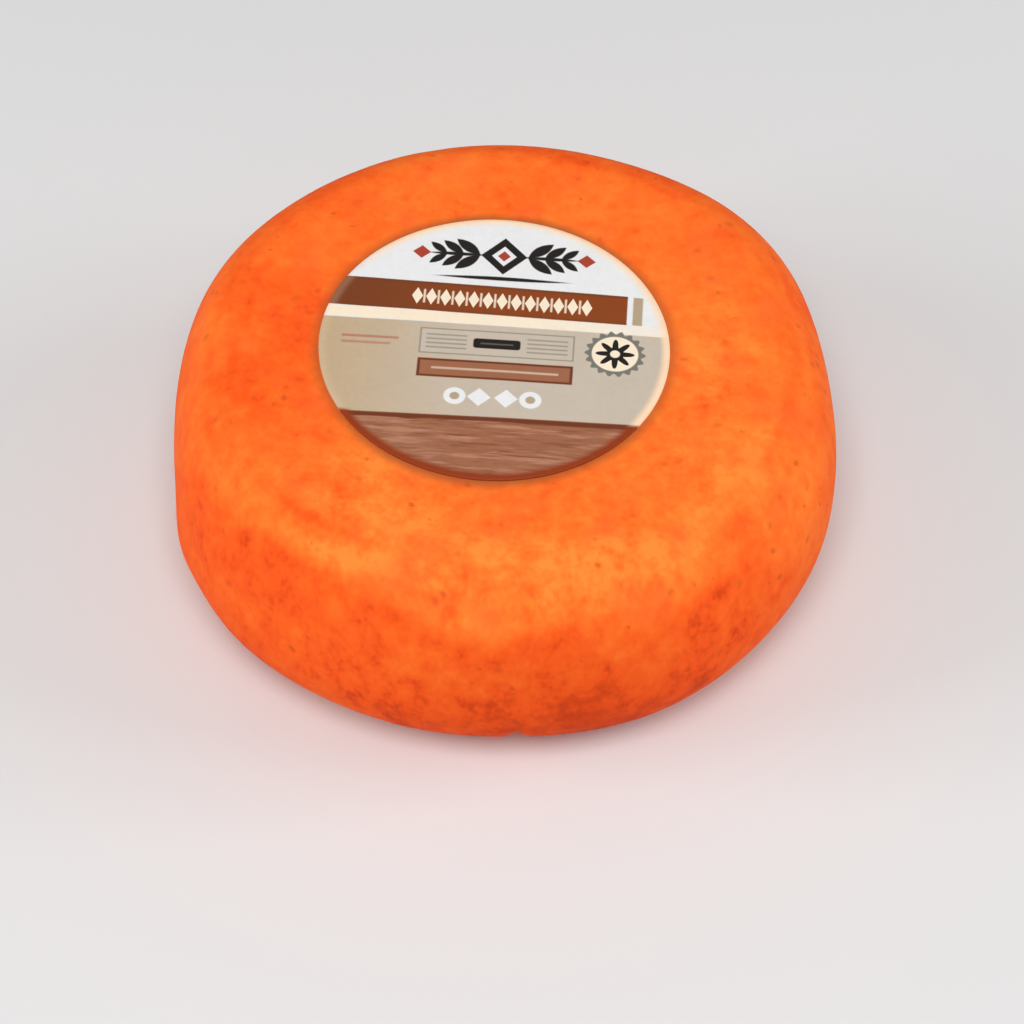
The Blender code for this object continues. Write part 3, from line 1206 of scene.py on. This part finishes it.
@dataclass
class Rind:
    """The wheel's skin: the solid's own form with slow waves, dimples and pits raised or sunk in it.

    Belts give the tone round the top, the shoulder, the side and the foot, and where the side begins. Runs
    are distances from the axis along the profile.
    """

    form: WheelForm = FORM
    segments: int = 680
    row_spacing: float = 0.95 * MM
    hidden_radius: float = 0.0385
    hidden_rows: int = 5
    inset: float = 0.15 * MM
    foot_fade: float = 4.0 * MM
    ripple: float = 0.035 * MM
    dimple_depth: float = 0.14 * MM
    large_pit_depth: float = 0.30 * MM
    small_pit_depth: float = 0.16 * MM
    pit_warp: float = 0.35 * MM
    top: Belt = Belt(0.585, (
        Bell(178.0, 35.0, -0.25), Bell(243.0, 28.0, 0.12), Bell(350.0, 40.0, 0.08), Bell(100.0, 40.0, -0.06)))
    # painted light: the shoulder's gold at the front is partly a painted highlight; the side's and the foot's
    # deeper red at the front are painted shade
    shoulder: Belt = Belt(0.43, (Bell(282.0, 55.0, 0.40),))
    side: Belt = Belt(0.42, (Bell(260.0, 60.0, -0.20, 4.0), Bell(340.0, 26.0, 0.12)))
    foot: Belt = Belt(0.01, (Bell(289.0, 34.0, 0.13),))
    side_start: Belt = Belt(0.0775, (Bell(264.0, 12.0, 0.008, 4.0), Bell(305.0, 28.0, 0.003)))
    side_softness: Belt = Belt(0.0075, (Bell(290.0, 30.0, 0.006),))
    front_mottle: Belt = Belt(1.0, (Bell(270.0, 60.0, 0.28, 4.0),))
    mottle_shares: Triple = (0.30, 0.70, 0.80)
    orange_tones: Pair = (-0.06, 0.36)
    gold_tones: Pair = (0.60, 0.82)
    shoulder_run: Pair = (0.060, 0.072)
    foot_run: Pair = (0.092, 0.122)
    under_run: Pair = (0.130, 0.162)
    under_tone: float = 0.36
    drift: float = 0.09
    streak_length: float = 26.0 * MM
    streak_width: float = 3.2 * MM
    streak_run: float = 0.071
    streak_half_run: float = 0.013
    streak_amount: float = 0.20
    patch_waver_degrees: float = 3.0
    patch_waver_mm: float = 1.8
    patches: tuple[Patch, ...] = (
        Patch(190.0, 69.5, 10.0, 5.0, -0.26), Patch(213.0, 79.5, 7.0, 6.5, 0.28),
        Patch(227.0, 71.5, 8.0, 3.4, -0.34), Patch(227.0, 52.0, 6.0, 5.7, 0.34),
        Patch(229.0, 97.5, 14.0, 8.5, -0.26), Patch(238.0, 66.0, 26.0, 4.0, 0.26),
        Patch(239.0, 100.5, 39.0, 9.0, 0.17), Patch(269.0, 89.0, 5.0, 9.0, -0.28),
        Patch(277.0, 56.0, 13.0, 9.0, -0.25), Patch(306.0, 66.5, 6.0, 4.6, -0.36),
        Patch(316.0, 83.0, 14.0, 8.8, -0.27), Patch(330.0, 86.0, 8.0, 6.2, 0.30),
        Patch(330.0, 68.0, 17.0, 3.6, 0.31), Patch(340.0, 52.0, 29.0, 4.5, 0.17),
        # painted highlight: the narrow gold patch at 236 degrees lights the front shoulder's edge, with a
        # darker line above it at 252 degrees
        Patch(236.0, 76.0, 13.0, 2.4, 0.24), Patch(252.0, 71.0, 20.0, 1.6, -0.20),
        Patch(271.0, 71.5, 8.0, 2.4, -0.16), Patch(322.0, 76.0, 6.0, 3.5, -0.20))

    def relief(self, points: Array) -> tuple[Array, Array]:
        """Fine relief: slow waves and a ripple, less dimples and two sizes of pits of wavering outline.

        Args:
            points: Points of the smooth form.

        Returns:
            Height above the inset skin in metres, and how deep in a pit each point lies, from 0 to 1.
        """
        wobble = np.stack([soft_noise(points, 0.0022, 50 + axis) for axis in range(3)], axis=-1)
        warped = points + self.pit_warp * wobble
        large = scattered_hollows(warped, 0.0078, 0.0015, 61)
        small = scattered_hollows(warped, 0.0048, 0.0009, 71)
        height = slow_waves(points) + self.ripple * layered_noise(points, 0.0065, 3, 31)
        height -= self.dimple_depth * scattered_hollows(points, 0.0150, 0.0042, 41)
        height -= self.large_pit_depth * large + self.small_pit_depth * small
        return height, np.maximum(large, 0.8 * small)

    def tone(self, points: Array, run: Array) -> Array:
        """Slow tone of the rind, from 0 for the deepest red to 1 for gold.

        The top is orange, redder towards -X. The shoulder turns gold at the front, partly a painted
        highlight. The side is redder at the front than elsewhere, and deepest at its foot, most at the front:
        painted shade. Smooth steps along the profile lead from belt to belt.

        Args:
            points: Points of the smooth form.
            run: Distance of each point from the axis along the profile.

        Returns:
            The tone at each point.
        """
        azimuth = np.arctan2(points[..., 1], points[..., 0])
        start = self.side_start.at(azimuth)
        tone = self.top.at(azimuth)
        # the front shoulder's gold is partly a painted highlight, the front side's deeper red painted shade
        for level, low, high in (
                (self.shoulder.at(azimuth), *self.shoulder_run),
                (self.side.at(azimuth), start, start + self.side_softness.at(azimuth))):
            tone = tone + (level - tone) * ramp(run, low, high)
        # painted shade: deeper red at the foot, most at the front
        tone = tone - self.foot.at(azimuth) * ramp(run, *self.foot_run)
        tone = tone + (self.under_tone - tone) * ramp(run, *self.under_run)
        tone = tone + self.drift * layered_noise(points, 0.018, 2, 91)
        return tone + self.streaks(azimuth, run) + self.patchy(points, azimuth, run)

    def patchy(self, points: Array, azimuth: Array, run: Array) -> Array:
        """Sum of the soft patches, with their outlines pushed about by noise.

        Args:
            points: Points of the smooth form.
            azimuth: Angle round the wheel.
            run: Distance along the profile.

        Returns:
            What the patches add to the tone.
        """
        turned = azimuth + math.radians(self.patch_waver_degrees) * layered_noise(points, 0.009, 3, 151)
        moved = run / MM + self.patch_waver_mm * layered_noise(points, 0.009, 3, 161)
        return sum(patch.at(turned, moved) for patch in self.patches)

    def contrast(self, azimuth: Array, tone: Array) -> Array:
        """How strong the fine mottle is: weak in the deepest red, strongest in the gold and at the front.

        Args:
            azimuth: Angle round the wheel.
            tone: Tone of the rind.

        Returns:
            The least share, and what two smooth steps over the tone add, times the front's belt.
        """
        least, orange, gold = self.mottle_shares
        by_tone = least + orange * ramp(tone, *self.orange_tones) + gold * ramp(tone, *self.gold_tones)
        return by_tone * self.front_mottle.at(azimuth)

    def streaks(self, azimuth: Array, run: Array) -> Array:
        """Lighter and darker arcs along the shoulder: noise that is long round the wheel and narrow across.

        Args:
            azimuth: Angle round the wheel.
            run: Distance along the profile.

        Returns:
            What the streaks add to the tone, under a bell over the shoulder.
        """
        turns = self.form.radius / self.streak_length
        along, across = np.broadcast_arrays(azimuth, run)
        places = np.stack([np.cos(along) * turns, np.sin(along) * turns, across / self.streak_width], axis=-1)
        belt = np.exp(-((run - self.streak_run) / self.streak_half_run) ** 2)
        return self.streak_amount * belt * layered_noise(places, 1.0, 2, 141)

    def build(self) -> Piece:
        """Make the rind: offset the form's grid along its normals by the relief, less a small inset.

        Returns:
            The piece, with its tone, mottle and pits as point attributes.
        """
        azimuth = np.linspace(0.0, FULL_TURN, self.segments, endpoint=False)
        radius, height, run = self.form.profile(self.row_spacing, self.hidden_radius, self.hidden_rows)
        rings = self.form.place(radius[:, None], height[:, None], azimuth[None])
        relief, pit = self.relief(rings)
        fade_in = ramp(rings[..., 2], 0.0, self.foot_fade)
        moved = rings + outward_normals(rings) * ((relief - self.inset) * fade_in)[..., None] - SHIFT
        piece = ring_skin("cheese_rind", moved, moved[0].mean(axis=0), np.array([-SHIFT[0], -SHIFT[1], 0.0]))
        tone = self.tone(rings, run[:, None])
        for name, values in (("tone", tone), ("mottle", self.contrast(azimuth[None], tone))):
            add_attribute(piece, name, values, float(values[0].mean()), float(values[-1].mean()))
        add_attribute(piece, "pit", pit * fade_in, 0.0, 0.0)
        return piece

    def dress(self, piece: Piece, finish: RindFinish, grain: Tree) -> None:
        """Give the rind its finish and its place in the frame.

        Args:
            piece: The rind.
            finish: Its finish.
            grain: The fine grain group.
        """
        piece.data.materials.append(finish.material(grain))
        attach(piece, ROOT_BODY)
        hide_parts("cheese_wheel")


@dataclass
class Label:
    """The round paper label: a thin disc that follows the top and lifts a little along its edge."""

    form: WheelForm = FORM
    radius: float = LABEL_RADIUS
    centre: Pair = LABEL_CENTRE
    print_turn_degrees: float = -4.2
    segments: int = 240
    rings: int = 44
    under_rings: tuple[float, ...] = (0.999, 0.9, 0.5)
    top_lift: float = 0.34 * MM
    thickness: float = 0.50 * MM
    rim_round: float = 0.07 * MM
    crease: float = 0.030 * MM
    edge_lift: float = 0.10 * MM
    edge_power: int = 12
    most_lift: float = 0.04 * MM
    sharp_degrees: float = 50.0

    def surface(self, radius: Array, azimuth: Array, lift: Array) -> Array:
        """Points on the paper: the top's height, its slow waves, faint creases and a curl at the edge.

        Args:
            radius: Distance from the label's centre.
            azimuth: Angle about it.
            lift: Height above the top.

        Returns:
            The points, before the wheel's box is centred.
        """
        x = self.centre[0] + radius * np.cos(azimuth)
        y = self.centre[1] + radius * np.sin(azimuth)
        base = self.form.top_height(x, y)
        points = np.stack([x, y, base], axis=-1)
        crease = self.crease * layered_noise(points, 0.010, 2, 121)
        rising = (radius / self.radius) ** self.edge_power
        curl = self.edge_lift * np.clip(soft_noise(points, 0.018, 131), 0.0, 1.0) * rising
        points[..., 2] = base + slow_waves(points) + lift + np.minimum(crease + curl, self.most_lift)
        return points

    def build(self) -> Piece:
        """Make the disc: rings out over the top, round the cut rim and back under.

        Returns:
            The piece, with its print mapped.
        """
        out = self.radius * (np.arange(1, self.rings + 1) / self.rings)
        rim = self.radius - self.rim_round
        under = self.radius * np.array(self.under_rings)
        radius = np.concatenate([out[:-1] * rim / self.radius, [rim, self.radius, self.radius], under])
        lift = np.full(len(radius), self.top_lift)
        lift[self.rings:] = self.top_lift - self.thickness
        lift[self.rings] = self.top_lift - self.rim_round
        azimuth = np.linspace(0.0, FULL_TURN, self.segments, endpoint=False)
        grid = self.surface(radius[:, None], azimuth[None], lift[:, None]) - SHIFT
        piece = ring_skin("round_label_paper", grid, grid[0].mean(axis=0), grid[-1].mean(axis=0))
        piece.data.set_sharp_from_angle(angle=math.radians(self.sharp_degrees))
        self.lay_print(piece)
        return piece

    def lay_print(self, piece: Piece) -> None:
        """Map the print: x and y about the centre, turned, spread so that 0 to 1 spans the diameter.

        Args:
            piece: The label.
        """
        mesh = piece.data
        points = np.empty(len(mesh.vertices) * 3)
        mesh.vertices.foreach_get("co", points)
        flat = points.reshape(-1, 3)[:, :2] + SHIFT[:2] - np.array(self.centre)
        turn = math.radians(-self.print_turn_degrees)
        turned = flat @ np.array([[math.cos(turn), math.sin(turn)], [-math.sin(turn), math.cos(turn)]])
        corners = np.empty(len(mesh.loops), int)
        mesh.loops.foreach_get("vertex_index", corners)
        spread = 0.5 + turned[corners] / (2.0 * self.radius)
        mesh.uv_layers.new(name="print").data.foreach_set("uv", spread.ravel())

    def dress(self, piece: Piece, finish: PaperFinish, grain: Tree) -> None:
        """Give the label its finish and its place in the frame.

        Args:
            piece: The label.
            finish: Its finish.
            grain: The fine grain group.
        """
        piece.data.materials.append(finish.material(grain))
        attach(piece, ROOT_BODY)
        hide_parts("round_label")


@dataclass(frozen=True)
class SoftLight:
    """A square studio light: where it stands, how wide it is and its power in watts."""

    name: str
    place: Triple
    width: float
    watts: float

    def hang(self) -> None:
        """Hang the light so that it faces the middle of the wheel."""
        lamp = bpy.data.lights.new(self.name, "AREA")
        lamp.size = self.width
        lamp.energy = self.watts
        aim = Vector((0.0, 0.0, FORM.girth_height)) - Vector(self.place)
        turned = aim.to_track_quat("-Z", "Y").to_matrix().to_4x4()
        add_object(self.name, lamp, Matrix.Translation(self.place) @ turned)


@dataclass
class Studio:
    """Plain pale floor, even surroundings and soft lights."""

    floor_half: float = 4.0
    world_strength: float = 0.29
    lights: tuple[SoftLight, ...] = (
        SoftLight("key_light", (-0.04, -1.05, 1.90), 0.9, 29.0),
        SoftLight("left_light", (-1.60, -0.30, 0.75), 0.9, 12.5),
        SoftLight("right_light", (1.60, -0.10, 0.80), 0.9, 11.5),
    )

    def build(self) -> None:
        """Lay the floor, set the surroundings and hang the lights."""
        half = self.floor_half
        corners = [(-half, -half, 0.0), (half, -half, 0.0), (half, half, 0.0), (-half, half, 0.0)]
        mesh = bpy.data.meshes.new("floor")
        mesh.from_pydata(corners, [], [(0, 1, 2, 3)])
        mesh.materials.append(FloorFinish().material())
        add_object("floor", mesh)
        world = bpy.data.worlds.new("studio")
        world.use_nodes = True
        Desk(world.node_tree).fill(world.node_tree.nodes["Background"], Color=(1.0, 1.0, 1.0),
                                   Strength=self.world_strength)
        bpy.context.scene.world = world
        for light in self.lights:
            light.hang()


@dataclass
class ViewCamera:
    """The camera: it looks along +Y and down, and the wheel's girth centre falls on a known pixel."""

    elevation_degrees: float = 50.24
    roll_degrees: float = 0.96
    distance: float = 0.961
    focal_px: float = 3800.0
    girth_px: Pair = (505.2, 445.1)
    sensor_mm: float = 36.0
    clip_end: float = 50.0

    def build(self) -> None:
        """Place the camera by taking the girth's centre back along the ray through its pixel."""
        tilt, roll = math.radians(self.elevation_degrees), math.radians(self.roll_degrees)
        forward = Vector((0.0, math.cos(tilt), -math.sin(tilt)))
        level_up = Vector((0.0, math.sin(tilt), math.cos(tilt)))
        level_right = Vector((1.0, 0.0, 0.0))
        right = level_right * math.cos(roll) - level_up * math.sin(roll)
        up = level_right * math.sin(roll) + level_up * math.cos(roll)
        across = (self.girth_px[0] - FRAME_PX / 2) / self.focal_px
        rise = (FRAME_PX / 2 - self.girth_px[1]) / self.focal_px
        girth = Vector((-SHIFT[0], -SHIFT[1], FORM.girth_height))
        place = girth - self.distance * (forward + across * right + rise * up)
        lens = bpy.data.cameras.new("view_camera")
        lens.sensor_width = self.sensor_mm
        lens.lens = self.focal_px / FRAME_PX * self.sensor_mm
        lens.clip_end = self.clip_end
        turned = Matrix((right, up, -forward)).transposed().to_4x4()
        bpy.context.scene.camera = add_object("view_camera", lens, Matrix.Translation(place) @ turned)


def report(piece: Piece) -> None:
    """Log a piece's name, its triangles and its size in millimetres.

    Args:
        piece: The piece.
    """
    triangles = sum(len(face.vertices) - 2 for face in piece.data.polygons)
    size = " x ".join(f"{edge / MM:.1f}" for edge in piece.dimensions)
    LOG.info("%s: %d triangles, %s mm", piece.name, triangles, size)


def main() -> None:
    """Build the studio, the camera, the rind and the label, and report each piece."""
    logging.basicConfig(level=logging.INFO, format="%(name)s: %(message)s")
    bpy.context.scene.view_settings.view_transform = "Standard"
    ViewCamera().build()
    Studio().build()
    grain = grain_group()
    rind, label = Rind(), Label()
    rind_piece = rind.build()
    rind.dress(rind_piece, RindFinish(), grain)
    label_piece = label.build()
    label.dress(label_piece, PaperFinish(), grain)
    bpy.context.view_layer.update()
    for piece in (rind_piece, label_piece):
        report(piece)


if __name__ == "__main__":
    main()
